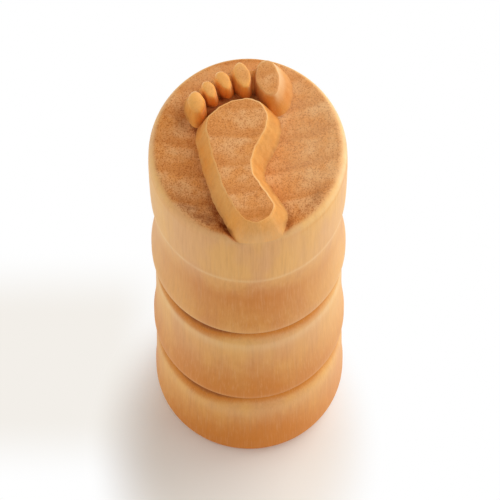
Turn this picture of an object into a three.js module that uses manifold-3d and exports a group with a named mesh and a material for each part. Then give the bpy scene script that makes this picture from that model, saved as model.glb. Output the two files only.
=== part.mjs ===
// Wooden hand stamp for clay: a lathe-turned hardwood handle standing on its plain end, with a bare footprint
// carved in relief on the end grain of its other end. Millimetres, +Z up, origin at the middle of the foot.
// The heel of the footprint points to -Y and runs flush into the handle's side; the big toe is on the +X side.
import * as THREE from 'three';
import { mergeVertices } from 'three/addons/utils/BufferGeometryUtils.js';
import Module from 'manifold-3d';

// Turned body. Depths are taken from the full radius, drops from the lip or the carved ground above.
const bodyDiameter = 25;        // over the lips, the head's belly and the foot
const handleHeight = 75;        // foot to the carved ground
const footFlatInset = 1.4;      // side to the edge of the flat foot
const footRound = 1.6;          // height of the rounded lower edge
const beadLand = 2;             // full-width stretch over the rounded foot and over each lip
const lowerLipHeight = 20;      // sharp edge over the lower groove
const lowerWaistDrop = 9;       // slack part of the bead under that edge
const lowerWaistDepth = 0.2;
const upperLipHeight = 43.3;    // sharp edge over the upper groove
const upperWaistDrop = 11.5;
const upperWaistDepth = 0.42;
const grooveDepth = 1.4;        // floor of a groove
const grooveDrop = 1.9;
const flankDepth = 0.55;        // where the flare under a groove becomes a slow swell
const flankDrop = 5.2;
const neckDepth = 0.5;          // soft hollow between the head and the bead below it
const neckDrop = 21;
const headEdgeDepth = 0.15;     // soft lower edge of the head
const headEdgeDrop = 14;
const bellyDrop = 5;            // the head's fullest place
const rimInset = 0.5;           // side to the edge of the carved ground
const turnedSides = 64;
const curveSteps = 4;

// Carved relief
const reliefHeight = 4;         // printing face over the carved ground
const soleDraft = 1.25;         // how far the sole's wall spreads on its way down
const carvingClearance = 0.3;   // between neighbouring islands of the carving
const heelInset = 0.1;          // rim to the tip of the heel
const toeSpace = 6.85;          // front of the ball to the rim behind the toes
const frontShift = -0.15;       // sideways places along the sole, to +X
const ballShift = -1.2;
const archShift = -1.9;
const heelShift = 0.65;
const heelTipShift = 0.8;
const innerShift = 1.65;        // where the sole's inner side comes out of the arch
const ballWidth = 7.5;
const archWidth = 4.65;
const heelWidth = 5.3;
const ballBehindFront = 2.6;    // front of the ball to its widest place
const heelAheadOfTip = 2.7;     // tip of the heel to its widest place
const heelSkew = 0.4;           // how much further back the heel is widest on its inner side
const innerAheadOfHeel = 2.55;  // widest place of the heel to where the inner side comes out of the arch
const solePoints = 64;
const padPoints = 24;

// Each toe's printing pad: its middle to +X and ahead of the ball's front, its size, how far its wall spreads on
// the way down, its turn to the left from straight ahead, and how much wider it is at its far end than by the sole.
const bigToe = {
  name: 'big_toe', aside: 2.58, ahead: 2.73, width: 2.85, length: 4.85, draft: 1, turnDegrees: 11, taper: 0.1,
};
const secondToe = {
  name: 'second_toe', aside: -0.6, ahead: 3.25, width: 1.9, length: 3.45, draft: 0.55, turnDegrees: 23, taper: 0.3,
};
const thirdToe = {
  name: 'third_toe', aside: -2.98, ahead: 2.55, width: 1.6, length: 2.8, draft: 0.45, turnDegrees: 46, taper: 0.55,
};
const fourthToe = {
  name: 'fourth_toe', aside: -4.72, ahead: 1.35, width: 1.5, length: 2.6, draft: 0.45, turnDegrees: 48, taper: 0.55,
};
const littleToe = {
  name: 'little_toe', aside: -6.38, ahead: -0.28, width: 2.2, length: 2.9, draft: 0.55, turnDegrees: 12, taper: 0,
};
const toes = [bigToe, secondToe, thirdToe, fourthToe, littleToe];

// Finish: pale close-grained hardwood under a thin satin oil, darker where the carving cuts the end grain
const woodLook = { roughness: 0.55, metalness: 0 };
const turnedWoodColour = 0xd9a468;
const carvedWoodColour = 0xd2955a;

const bodyRadius = bodyDiameter / 2;
const rimRadius = bodyRadius - rimInset;
const ballFront = rimRadius - toeSpace;
const heelTip = heelInset - rimRadius;

const wasm = await Module();
wasm.setup();

// A closed three.js geometry as a solid that can be joined and cut.
function solidOf(geometry) {
  const bare = geometry.clone();
  bare.deleteAttribute('normal');
  bare.deleteAttribute('uv');
  const merged = mergeVertices(bare);
  const vertProperties = new Float32Array(merged.attributes.position.array);
  const triVerts = new Uint32Array(merged.index.array);
  return new wasm.Manifold(new wasm.Mesh({ numProp: 3, vertProperties, triVerts }));
}

// A solid as a three.js geometry.
function geometryOf(solid) {
  const mesh = solid.getMesh();
  const geometry = new THREE.BufferGeometry();
  geometry.setAttribute('position', new THREE.BufferAttribute(new Float32Array(mesh.vertProperties), 3));
  geometry.setIndex(new THREE.BufferAttribute(new Uint32Array(mesh.triVerts), 1));
  geometry.computeVertexNormals();
  return geometry;
}

// One bead and the groove over it, drawn upwards: from the bead's full width it slackens to its waist, draws in
// along its flank to the groove's floor, and comes out again to the sharp lip above and that lip's land.
function turnBead(profile, lipHeight, waistDrop, waistDepth) {
  const fullHeight = profile.currentPoint.y;
  const waistHeight = lipHeight - waistDrop;
  const waistRadius = bodyRadius - waistDepth;
  const flankHeight = lipHeight - flankDrop;
  const grooveHeight = lipHeight - grooveDrop;
  const grooveRadius = bodyRadius - grooveDepth;
  profile.quadraticCurveTo(waistRadius, (fullHeight + waistHeight) / 2, waistRadius, waistHeight);
  profile.lineTo(bodyRadius - flankDepth, flankHeight);
  profile.quadraticCurveTo(grooveRadius, (flankHeight + grooveHeight) / 2, grooveRadius, grooveHeight);
  profile.quadraticCurveTo(grooveRadius, (grooveHeight + lipHeight) / 2, bodyRadius, lipHeight);
  profile.lineTo(bodyRadius, lipHeight + beadLand);
}

// The soft neck and the head over the upper lip's land, up to the rim of the carved ground.
function turnHead(profile) {
  const landHeight = profile.currentPoint.y;
  const neckHeight = handleHeight - neckDrop;
  const neckRadius = bodyRadius - neckDepth;
  const edgeHeight = handleHeight - headEdgeDrop;
  profile.quadraticCurveTo(neckRadius, (landHeight + neckHeight) / 2, neckRadius, neckHeight);
  profile.quadraticCurveTo(neckRadius, (neckHeight + edgeHeight) / 2, bodyRadius - headEdgeDepth, edgeHeight);
  profile.lineTo(bodyRadius, handleHeight - bellyDrop);
  profile.quadraticCurveTo(bodyRadius, handleHeight - bellyDrop / 2, rimRadius, handleHeight);
}

// The handle, turned in one piece: rounded foot, two beads under their lips, and the head.
function makeHandle() {
  const profile = new THREE.Path();
  profile.moveTo(0, 0);
  profile.lineTo(bodyRadius - footFlatInset, 0);
  profile.quadraticCurveTo(bodyRadius, 0, bodyRadius, footRound);
  profile.lineTo(bodyRadius, footRound + beadLand);
  turnBead(profile, lowerLipHeight, lowerWaistDrop, lowerWaistDepth);
  turnBead(profile, upperLipHeight, upperWaistDrop, upperWaistDepth);
  turnHead(profile);
  profile.lineTo(0, handleHeight);
  return new THREE.LatheGeometry(profile.getPoints(curveSteps), turnedSides).rotateX(Math.PI / 2);
}

// The part of the turned blank that the carving was cut from: as wide as the rim, ground to printing face.
function makeBlank() {
  const blank = new THREE.CylinderGeometry(rimRadius, rimRadius, reliefHeight, turnedSides);
  return solidOf(blank.rotateX(Math.PI / 2).translate(0, 0, handleHeight + reliefHeight / 2));
}

// An island of the carving under a printing outline: its wall spreads evenly from the printing face down to the
// ground, and goes on below it, where the blank ends. It can be grown all round by a clearance.
function makeIsland(outline, draft, grownBy = 0) {
  const island = new THREE.ExtrudeGeometry(new THREE.Shape(outline), {
    depth: reliefHeight,
    bevelThickness: reliefHeight,
    bevelSize: draft,
    bevelOffset: grownBy,
    bevelSegments: 1,
  });
  return solidOf(island.translate(0, 0, handleHeight - reliefHeight));
}

// The sole's printing outline: a smooth closed curve from the ball's front round by the heel.
function soleOutline() {
  const ballLine = ballFront - ballBehindFront;
  const heelLine = heelTip + heelAheadOfTip;
  const archLine = (ballLine + heelLine) / 2;
  const knots = [
    [frontShift, ballFront],
    [ballShift - ballWidth / 2, ballLine],
    [archShift - archWidth / 2, archLine],
    [heelShift - heelWidth / 2, heelLine],
    [heelTipShift, heelTip],
    [heelShift + heelWidth / 2, heelLine - heelSkew],
    [innerShift, heelLine + innerAheadOfHeel],
    [archShift + archWidth / 2, archLine],
    [ballShift + ballWidth / 2, ballLine],
  ];
  const curve = new THREE.CatmullRomCurve3(knots.map(([x, y]) => new THREE.Vector3(x, y, 0)), true, 'catmullrom');
  return curve.getSpacedPoints(solePoints).slice(0, -1).map((point) => new THREE.Vector2(point.x, point.y));
}

// The middle of a toe's pad on the face.
function toeMiddle(toe) {
  return new THREE.Vector2(toe.aside, ballFront + toe.ahead);
}

// A toe's printing outline: an egg, wider at its far end than by the sole, turned to the left from straight ahead.
function toeOutline(toe) {
  const middle = toeMiddle(toe);
  const turn = THREE.MathUtils.degToRad(toe.turnDegrees);
  const origin = new THREE.Vector2();
  return Array.from({ length: padPoints }, (unused, step) => {
    const angle = (2 * Math.PI * step) / padPoints;
    const across = (toe.width / 2) * Math.cos(angle) * (1 + toe.taper * Math.sin(angle));
    const ahead = (toe.length / 2) * Math.sin(angle);
    return new THREE.Vector2(across, ahead).rotateAround(origin, turn).add(middle);
  });
}

// All that lies past the valley between a toe and its neighbour, seen from the toe. Cutting it away leaves half
// the clearance on the toe's side of the valley.
function pastValley(toe, neighbour) {
  const middle = toeMiddle(toe);
  const across = toeMiddle(neighbour).sub(middle);
  const valley = (across.length() + (toe.width - neighbour.width) / 2 - carvingClearance) / 2;
  const beyond = new THREE.BoxGeometry(bodyDiameter, bodyDiameter, bodyDiameter);
  beyond.translate(valley + bodyRadius, 0, handleHeight);
  beyond.rotateZ(across.angle());
  beyond.translate(middle.x, middle.y, 0);
  return solidOf(beyond);
}

// The sole: ball, arch and heel, cut flush with the blank's side at the heel.
function makeSole(blank) {
  return geometryOf(makeIsland(soleOutline(), soleDraft).intersect(blank));
}

// A toe, cut clear of the sole and of the toes beside it.
function makeToe(index, blank, roundSole) {
  const toe = toes[index];
  const neighbours = [toes[index - 1], toes[index + 1]].filter(Boolean);
  const island = makeIsland(toeOutline(toe), toe.draft).intersect(blank).subtract(roundSole);
  return geometryOf(neighbours.reduce((solid, neighbour) => solid.subtract(pastValley(toe, neighbour)), island));
}

function namedPiece(name, geometry, colour) {
  const piece = new THREE.Mesh(geometry, new THREE.MeshStandardMaterial({ color: colour, ...woodLook }));
  piece.name = name;
  return piece;
}

const blank = makeBlank();
const roundSole = makeIsland(soleOutline(), soleDraft, carvingClearance);
const stamp = new THREE.Group();
stamp.add(namedPiece('handle', makeHandle(), turnedWoodColour));
stamp.add(namedPiece('sole', makeSole(blank), carvedWoodColour));
toes.forEach((toe, index) => {
  stamp.add(namedPiece(toe.name, makeToe(index, blank, roundSole), carvedWoodColour));
});

export default stamp;
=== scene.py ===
"""Wooden hand stamp: a turned handle with a footprint carved on its end grain, dressed over the solid model.

Lengths are in metres, +Z up. The heel of the footprint points to -Y, and the big toe is on the +X side.
"""
import math
from collections import namedtuple

import bpy
import numpy as np
from bpy.props import FloatProperty, FloatVectorProperty, PointerProperty
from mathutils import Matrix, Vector


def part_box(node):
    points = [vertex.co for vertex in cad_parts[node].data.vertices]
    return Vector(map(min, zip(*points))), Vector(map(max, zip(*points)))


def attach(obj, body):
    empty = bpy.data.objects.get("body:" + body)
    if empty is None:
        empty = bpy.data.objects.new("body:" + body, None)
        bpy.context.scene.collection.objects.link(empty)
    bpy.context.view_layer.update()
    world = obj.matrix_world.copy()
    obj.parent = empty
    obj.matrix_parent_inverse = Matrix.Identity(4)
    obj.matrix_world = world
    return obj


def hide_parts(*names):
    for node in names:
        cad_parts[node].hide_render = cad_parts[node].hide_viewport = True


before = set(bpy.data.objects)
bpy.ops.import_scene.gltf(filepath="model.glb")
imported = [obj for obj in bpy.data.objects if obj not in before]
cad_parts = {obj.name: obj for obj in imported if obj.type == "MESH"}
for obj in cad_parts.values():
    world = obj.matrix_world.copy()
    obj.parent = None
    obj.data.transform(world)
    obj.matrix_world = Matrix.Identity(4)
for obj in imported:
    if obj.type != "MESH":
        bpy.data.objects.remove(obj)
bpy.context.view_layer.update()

bl_info = {
    "name": "Carved Hand Stamp",
    "version": (1, 0, 0),
    "blender": (4, 5, 0),
    "location": "3D View > Sidebar > Hand Stamp",
    "description": "Turned wooden hand stamp with a footprint carved in relief on its end grain",
    "category": "Add Mesh",
}

MM = 0.001
BODY = "root"
# The marks on each piece: end grain, the depth of tone, browning that is partly the cutter's burning and
# partly painted shade, and paling that is partly wear and partly painted highlights and sheen.
MARKS = "end_grain", "tone", "toasted", "worn"

HANDLE_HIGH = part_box("handle")[1]
SOLE_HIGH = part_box("sole")[1]
BODY_RADIUS = HANDLE_HIGH.x
GROUND = HANDLE_HIGH.z
PRINTING = SOLE_HIGH.z

# How finely the surfaces are drawn: columns round each piece, and rings over each stretch.
HANDLE_COLUMNS, SOLE_COLUMNS, TOE_COLUMNS = 384, 360, 128
COARSE_SOLE_COLUMNS, COARSE_TOE_COLUMNS = 96, 48
FOOT_RINGS, ROUND_RINGS, LAND_RINGS = 3, 12, 2
SWELL_RINGS, FLANK_RINGS, LIP_RINGS = 10, 8, 6
LEAN_RINGS, RIM_RINGS, GROUND_RINGS = 6, 16, 84
SKIRT_RINGS, FLARE_RINGS, WALL_RINGS, EDGE_RINGS = 8, 12, 19, 7
LOWER_CAP_RINGS, CAP_RINGS = 10, 28

# Shares that shape the turned curves: how far under a lip its edge starts, and where a curve's pull lies.
LIP_UNDERCUT, LIP_PULL, FLANK_PULL, HEAD_PULL = 0.7, 0.1, 0.25, 0.3
HEAD_PULL_RISE = 1.5 * MM

# The carving's smaller shapes. Here and below, a pair is where a fade starts and where it is full.
SOLE_FLATNESS = 8.0
SOLE_POLE_ASIDE, SOLE_POLE_ALONG = 0.15, 0.44
HAND_WAVES = (1.0, 4.3), (0.6, 1.9), (0.3, 0.9)
FLARE_REACH, FLARE_CROWDING = 3, 1.5
FLARE_BY_RIM = -0.5 * MM, -1.4 * MM
SKIRT_GAP, SKIRT_TUCK, SKIRT_TUCK_START = 0.02 * MM, 0.3 * MM, 0.7
HEEL_PROUD = 0.004 * MM
FALL_ALONG = -0.3, 0.65
POCKET_AHEAD, POCKET_ASIDE, POCKET_NARROW = (3.2 * MM, 4.8 * MM), (4.0 * MM, 2.0 * MM), (3.4 * MM, 2.0 * MM)
WEB_ALONG = 1.1, -0.35
NOTCH_OUT, NOTCH_FROM = 0.2 * MM, 0.8

# An island whose dome is flatter than this is cut flat across the grain, and a rounder one is rubbed smooth.
FLAT_TOP = 5.0

# Each toe: its middle to +X and ahead of the ball's front, its size, its turn to the left from straight
# ahead in degrees, how much wider it is at its far end than by the sole, how far its top is domed and how
# flat that dome is, how far its wall spreads on the way down at its left, its right, its root by the sole
# and its far end, how far its top falls towards its root, and how high the wood stands between it and the
# next toe. Millimetres.
Toe = namedtuple("Toe", "name aside ahead width length turn taper dome flatness left right root end fall web")
TOES = (
    Toe("big_toe", 2.58, 2.73, 2.85, 4.85, 11, 0.1, 0.25, 7.0, 0.4, 1.45, 1.2, 1.0, 0.1, 3.3),
    Toe("second_toe", -0.62, 3.25, 2.0, 3.3, 18, 0.05, 0.35, 4.0, 0.6, 0.25, 0.65, 0.8, 0.3, 2.8),
    Toe("third_toe", -2.95, 2.6, 1.65, 2.5, 34, 0.12, 0.45, 3.0, 0.3, 0.45, 0.5, 0.6, 0.6, 2.3),
    Toe("fourth_toe", -4.72, 1.4, 1.5, 2.35, 34, 0.12, 0.45, 3.0, 0.25, 0.35, 0.5, 0.6, 0.6, 2.2),
    Toe("little_toe", -6.38, -0.2, 2.2, 2.75, 12, 0.0, 0.85, 2.3, 0.2, 0.3, 0.55, 0.8, 0.8, 0.0),
)
# An island of the carving: its outline, the middle of its caps, how far its wall spreads at each point, how
# round its edge is, its dome as for a toe, and the way and the amount that its top falls, over a length.
Island = namedtuple("Island", "name outline pole draft edge dome flatness way fall length")

# Places on the face that several marks follow, to +X or +Y: the big toe's side, and the front by the heel.
BIG_TOE_SIDE = 0.5 * MM, 4.0 * MM
FRONT = -2 * MM, -9 * MM

# Marks of the islands: browned in the valleys and at the walls' feet by painted shade with some of the
# cutter's burning, more at the notch in front on the left of the heel, and by painted shade on the toes'
# left-facing walls and the sole's right-facing walls below their edges.
VALLEY_GAP, VALLEY_DEPTH, VALLEY_SPARED = (2.2 * MM, 0.5 * MM), (0.9 * MM, 3.6 * MM), 0.7
GROUND_EDGE, HEEL_OUTSIDE = (0.0, -1.2 * MM), (0.1 * MM, -1.4 * MM)
NOTCH_ALONG, NOTCH_ASIDE = (-6 * MM, -10 * MM), (4 * MM, -2 * MM)
FOOT_HEIGHT, FOOT_BROWN, NOTCH_BROWN = (0.8 * MM, 0.0), 0.3, 0.3
LOW_WALL, FLAT_BROWN, ROUND_BROWN = (2.2 * MM, 0.3 * MM), 0.4, 1.2
UNDER_EDGE, LEFT_FACING, RIGHT_FACING = (0.2 * MM, 0.8 * MM), (-0.3, -0.9), (0.2, 0.9)
LEFT_BROWN, RIGHT_BROWN = 0.42, 0.37
HEEL_TIP, HEEL_BROWN = (-9.3 * MM, -9.9 * MM), 0.4

# Deeper in tone on the walls and at the ends of the sole, and deeper still as painted shade in the valleys
# and on the toes' walls towards their roots.
FLAT_DEEP, ROUND_DEEP, VALLEY_DEEP, ROOT_DEEP, HEEL_WALL_SHARE = 0.36, 0.1, 0.35, 0.4, 0.6
SOLE_DEEP, HEEL_TIP_DEEP, BALL_DEEP, BALL_FRONT = 0.12, 0.7, 0.1, (3.4 * MM, 4.4 * MM)

# End grain on the tops that are flat enough, and a little on the heel's wall.
FLAT_ENOUGH, DOME_FALL, DOME_SPARED = (1.6, 5.5), (0.1 * MM, 0.7 * MM), 0.8
HEEL_GRAIN, HEEL_RISE = 0.2, (-1.0 * MM, 1.5 * MM)

# Pale along the edges from wear, with a painted highlight where they face the light, and pale where the heel
# runs into the head. Painted highlights on the toes' far edges, on their tops and on their right-facing
# walls.
LIGHT_WAY = 0.5, 0.87
EDGE_WORN, EDGE_LIT, EDGE_LEVEL, EDGE_LEVELS = 0.3, 0.75, -3.5, 1.5
HEEL_PALE, HEEL_BLEND = 0.3, (2.5 * MM, 0.0)
TOE_END_HIGHLIGHT, TOE_END_TURN, TOE_END_SPREAD = 1.1, 0.35, 0.3
TOE_TOP_HIGHLIGHT, TOE_TOP_POWER = 0.1, 3
TOE_RIGHT_HIGHLIGHT, TOE_RIGHT_RISE = 0.75, (3.0 * MM, 0.4 * MM)

# Marks of the turned side: end grain by how level it lies, a painted highlight line at the head's lower edge
# with a painted shade line just over it, a painted sheen on the swells, painted highlights on the lips, a
# deeper tone under each lip as painted shade, and a painted highlight on the rounded rim, stronger on the
# right.
LEVEL_ENOUGH = 0.55, 0.95
EDGE_LINE_HIGHLIGHT, EDGE_LINE_WIDTH = 0.6, 0.5 * MM
EDGE_SHADE_BROWN, EDGE_SHADE_RISE, EDGE_SHADE_WIDTH = 0.12, 1.0 * MM, 0.35 * MM
LOWER_SWELL_SHEEN, UPPER_SWELL_SHEEN, SWELL_DROP, SWELL_WIDTH = 0.2, 0.45, 1.0 * MM, 1.5 * MM
LIP_HIGHLIGHT, LIP_RISE, LIP_WIDTH = 0.45, 0.1 * MM, 0.15 * MM
UNDER_LIP = 5.4 * MM, 2.8 * MM
RIM_HIGHLIGHT, RIM_LIT, RIM_SPARED, RIM_RIGHT = 0.6, 0.8, 0.55, (2 * MM, 10 * MM)

# To the left and right the side is painted lighter, as the side lights fall on it: less deep in tone, and
# with a painted sheen that is paler the higher it is and on the right.
SIDE_SPARED, LOW_SPARED, LOW_RISE = 0.35, 0.2, (18 * MM, 5 * MM)
SIDE_PALE, LOW_PALE, PALE_RISE = 0.55, 0.05, (10 * MM, 60 * MM)
RIGHT_PALE, PALE_RIGHT = 0.35, (0.0, 8 * MM)

# The cutter's burning in the grooves, with painted shade under each lip: how wide it is in front and how much
# wider at the sides, where the painted shade reaches further, its soft and its dark part, and where it runs
# wider still: how far to +X, over which reach, and by what share. The mark is weaker on the right, where the
# light falls.
GROOVE_WIDTH, GROOVE_WIDER = 0.78, 0.35
GROOVE_SOFT_FADE, GROOVE_DARK = (6.0 * MM, 3.2 * MM), (4.3 * MM, 3.2 * MM)
GROOVE_TONE, GROOVE_SOFT_BROWN, DARK_BROWN = 1.2, 0.2, 0.85
GROOVE_BURN_AND_SHADE, GROOVE_LIGHTER_RIGHT, GROOVE_RIGHT_FADE = 1.15, 0.35, (-4 * MM, 4 * MM)
GROOVE_SPREAD_SPOTS = (-6.5 * MM, 5.0 * MM, 0.3), (7.0 * MM, 4.0 * MM, 0.15)

# Marks of the carved ground. Its reach is 1 at its rim. Painted shade with some of the cutter's burning
# browns the walls' feet, more so in front on the left, and the pocket by the toes. The wood between the toes
# is deeper in tone as painted shade, and the ground on the right is painted lighter. The rim in front is
# burnt, with painted shade on its left. A slip of the cutter has burnt the rim on the right of the heel.
GROUND_REACH, BEHIND_TOES = (1.01, 0.95), (5 * MM, 10 * MM)
GROUND_LEFT, GROUND_RIGHT = (6 * MM, -6 * MM), (0.0, 7 * MM)
WALL_FOOT_GAP, WALL_FOOT_BROWN, FRONT_FOOT_BROWN = (2.4 * MM, 1.4 * MM), 0.45, 0.25
POCKET_GAP, POCKET_RISE, POCKET_BROWN, POCKET_SPARED = (4.0 * MM, 2.2 * MM), (2.2 * MM, 0.6 * MM), 1.4, 0.6
RIM_NEAR, RIM_PAST, RIM_BROWN, RIM_LEFT_BROWN = (0.55, 0.9), (1.0, 0.94), 0.35, 0.45
SLIP_PLACE, SLIP_REACH, SLIP_BROWN = np.array([8.6, -6.4]) * MM, np.array([0.9, 1.7]) * MM, 0.5
WEB_RISE, WEB_DEEP, WEB_GRAIN_LOST = (0.3 * MM, 1.5 * MM), 0.5, 0.9
BEHIND_DEEP, BEHIND_PALE, RIGHT_GROUND_PALE = 0.4, 0.3, 0.35

# Figures in the wood: how closely each repeats across the grain and along it, per millimetre, its detail, its
# roughness, and how closely it repeats towards the pith where that differs.
Figure = namedtuple("Figure", "across along detail roughness radial", defaults=(0.5, None))
FIGURES = {
    "sway": Figure(0.16, 0.02, 3.0),
    "streak": Figure(2.2, 0.035, 5.0, 0.62),
    "fibre": Figure(6.0, 0.2, 3.0, 0.6),
    "speckle": Figure(6.2, 0.5, 2.0, 0.7),
    "patch": Figure(0.35, 0.1, 3.0),
    "ray": Figure(6.0, 0.3, 2.0, 0.5, 1.2),
    "cloud": Figure(0.22, 0.05, 3.0),
    "mottle": Figure(0.9, 0.4, 4.0, 0.7),
}
# Layers of colour: a figure, its values where the layer starts and is full, the strength and the colour.
Layer = namedtuple("Layer", "figure start full strength colour")
SIDE_LAYERS = (
    Layer("streak", 0.44, 0.74, 0.22, "ring"),
    Layer("fibre", 0.5, 0.7, 0.1, "pore"),
    Layer("fibre", 0.5, 0.3, 0.1, "worn"),
)
END_LAYERS = (
    Layer("ray", 0.45, 0.75, 0.35, "ring"),
    Layer("speckle", 0.5, 0.64, 0.7, "pore"),
    Layer("speckle", 0.44, 0.3, 0.18, "worn"),
)
# The pith that the growth rings run round, in millimetres, how far they sway, and how dark each is across.
PITH = (-3.0, 33.0, 0.0)
RING_SWAY = 1.6
LATE_WOOD = (0.0, 0.1), (0.55, 0.35), (0.86, 1.0), (1.0, 0.1)
# How clouds and mottle break up the wood's colours, its deep tone, its browning, which is partly the cutter's
# burning and partly painted shade, and its pale places, which are partly wear and partly painted highlights
# and sheen.
PATCH_CLOUD, CLOUD_TONE, MOTTLE_TONE = (0.42, 0.66), 0.5, 0.4
EARLY_PATCH, EARLY_PALE, LATE_DARK, END_TONE = (0.35, 0.65), 0.4, 0.9, 0.55
BROWN_SHARE, BROWN_MOTTLE, SIDE_UNEVEN, END_UNEVEN, SPECKLE_UNEVEN = 0.6, (0.35, 0.65), 0.15, 0.2, 0.4
PALE_SHARE, PALE_MOTTLE, MOTTLE_PALE, STREAK_PALE = 0.25, (0.3, 0.7), 0.25, 0.25
END_ROUGHNESS, SPECKLE_ROUGHNESS, FIBRE_RELIEF = 0.14, 0.08, 0.6
BUMP_STRENGTH, BUMP_DEPTH, OIL_IOR = 0.22, 0.06 * MM, 1.45

# Each finish: its colours where it is pale, in its patches and where it is deep, its roughness and its gloss.
Finish = namedtuple("Finish", "name pale patches deep roughness gloss")
TURNED_FINISH = Finish("stamp_turned_wood", "side", "blush", "amber", 0.45, 0.14)
SOLE_FINISH = Finish("stamp_carved_wood", "side", "toe", "amber", 0.45, 0.3)
FLAT_TOE_FINISH = Finish("stamp_flat_toe_wood", "side", "blush", "amber", 0.45, 0.3)
# The rounded toes are painted brighter, as light, with the toe colour. Their deep colour is the toe root
# colour, laid as painted shade.
ROUND_TOE_FINISH = Finish("stamp_round_toe_wood", "toe", "toe", "toe_root", 0.42, 0.35)

# The floor's shade is kept in an oval about a place near the stamp: its place, its reach to +X and +Y, and
# the square of the share of that reach at which it starts to fade to white. To the left of it lies a faint
# grey band, a painted shadow on the white floor.
FLOOR_REACH = 3.0
SHADE_ASIDE, SHADE_AHEAD = -2 * MM, -12 * MM
SHADE_ACROSS, SHADE_ALONG = 20 * MM, 24 * MM
SHADE_FULL = 0.2
BAND_LEFT, BAND_RIGHT, BAND_FRONT, BAND_BACK = -55 * MM, -9 * MM, -17 * MM, 17 * MM
BAND_FADE = 10 * MM

# The soft lights: the way from the stamp to each, its size, and the setting that holds its power.
Light = namedtuple("Light", "name way size power")
LIGHTS = (
    Light("key_light", (0.78, 0.62, 0.9), 0.7, "key_power"),
    Light("right_light", (1.0, -0.15, 0.3), 0.6, "right_power"),
    Light("left_light", (-1.0, 0.1, 0.2), 0.6, "left_power"),
    Light("front_light", (0.1, -1.0, 0.6), 0.8, "front_power"),
)
LIGHT_REACH = 0.9

# The view: the image's side in pixels, the sensor's width in millimetres, the height of the handle's middle
# that the camera looks at, and the nearest distance that it shows.
IMAGE_PIXELS, SENSOR_WIDTH = 500, 36.0
AIM_HEIGHT, NEAR_CLIP = 37 * MM, 0.01


def srgb(red, green, blue):
    """A colour given as it looks on a screen, 0 to 255, as the linear colour that shaders use."""
    channels = (channel / 255 for channel in (red, green, blue))
    return tuple(c / 12.92 if c <= 0.04045 else ((c + 0.055) / 1.055) ** 2.4 for c in channels)


def length(name, description, default):
    """A length property whose default is given in metres."""
    return FloatProperty(name=name, description=description, default=default, unit="LENGTH", precision=5)


def share(name, description, default):
    """A property for a share from 0 to 1."""
    return FloatProperty(name=name, description=description, default=default, min=0, max=1, subtype="FACTOR")


def angle(name, description, degrees):
    """An angle property whose default is given in degrees."""
    return FloatProperty(name=name, description=description, default=math.radians(degrees), subtype="ANGLE")


def pixels(name, description, default):
    """A property for a place or a length in the image."""
    return FloatProperty(name=name, description=description, default=default, subtype="PIXEL")


def power(name, description, default):
    """A light's power property, in watts."""
    return FloatProperty(name=name, description=description, default=default, min=0, unit="POWER")


def colour(name, description, default):
    """A colour property."""
    return FloatVectorProperty(
        name=name, description=description, default=default, subtype="COLOR", size=3, min=0, max=1)


class TurnedSizes(bpy.types.PropertyGroup):
    """Sizes of the turned handle. Depths are taken from the full radius, drops from the edge above."""

    body_radius: length("Body Radius", "Over the lips, the head's belly and the foot", BODY_RADIUS)
    ground: length("Ground", "Height of the carved ground over the foot", GROUND)
    foot_inset: length("Foot Inset", "Side to the edge of the flat foot", 1.4 * MM)
    foot_round: length("Foot Round", "Height of the rounded lower edge", 1.6 * MM)
    land: length("Land", "Full-width stretch over the rounded foot and over each lip", 2 * MM)
    lip_round: length("Lip Round", "Radius of the worn edge of a lip", 0.22 * MM)
    lower_lip: length("Lower Lip", "Height of the edge over the lower groove", 20 * MM)
    lower_waist_drop: length("Lower Waist Drop", "Lower lip to the slack of the bead below", 9 * MM)
    lower_waist_depth: length("Lower Waist Depth", "Slack of the bead under the lower lip", 0.2 * MM)
    upper_lip: length("Upper Lip", "Height of the edge over the upper groove", 43.3 * MM)
    upper_waist_drop: length("Upper Waist Drop", "Upper lip to the slack of the bead below", 11.5 * MM)
    upper_waist_depth: length("Upper Waist Depth", "Slack of the bead under the upper lip", 0.42 * MM)
    groove_depth: length("Groove Depth", "Floor of a groove", 1.4 * MM)
    groove_drop: length("Groove Drop", "Lip to the groove's floor", 1.9 * MM)
    flank_depth: length("Flank Depth", "Where the flare under a groove becomes a slow swell", 0.55 * MM)
    flank_drop: length("Flank Drop", "Lip to that place", 5.2 * MM)
    neck_depth: length("Neck Depth", "Soft hollow between the head and the bead below it", 0.5 * MM)
    neck_drop: length("Neck Drop", "Carved ground to the middle of that hollow", 21 * MM)
    head_edge_depth: length("Head Edge Depth", "Soft lower edge of the head", 0.15 * MM)
    head_edge_drop: length("Head Edge Drop", "Carved ground to the head's lower edge", 14 * MM)
    belly_drop: length("Belly Drop", "Carved ground to the head's fullest place", 5 * MM)
    head_lean: length("Head Lean", "How far the side draws in from the belly to the printing face", 0.5 * MM)
    rim_inset: length("Rim Inset", "Side to the flat of the carved ground, at the sides", 1.25 * MM)
    rim_drop: length("Rim Drop", "Height of the rounded rim, at the sides", 2.0 * MM)
    rim_sharp_back: share("Sharp Back", "Share of the rim's rounding left off behind the toes", 0.58)
    rim_sharp_front: share("Sharp Front", "Share of the rim's rounding left off by the heel", 0.24)


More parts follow.
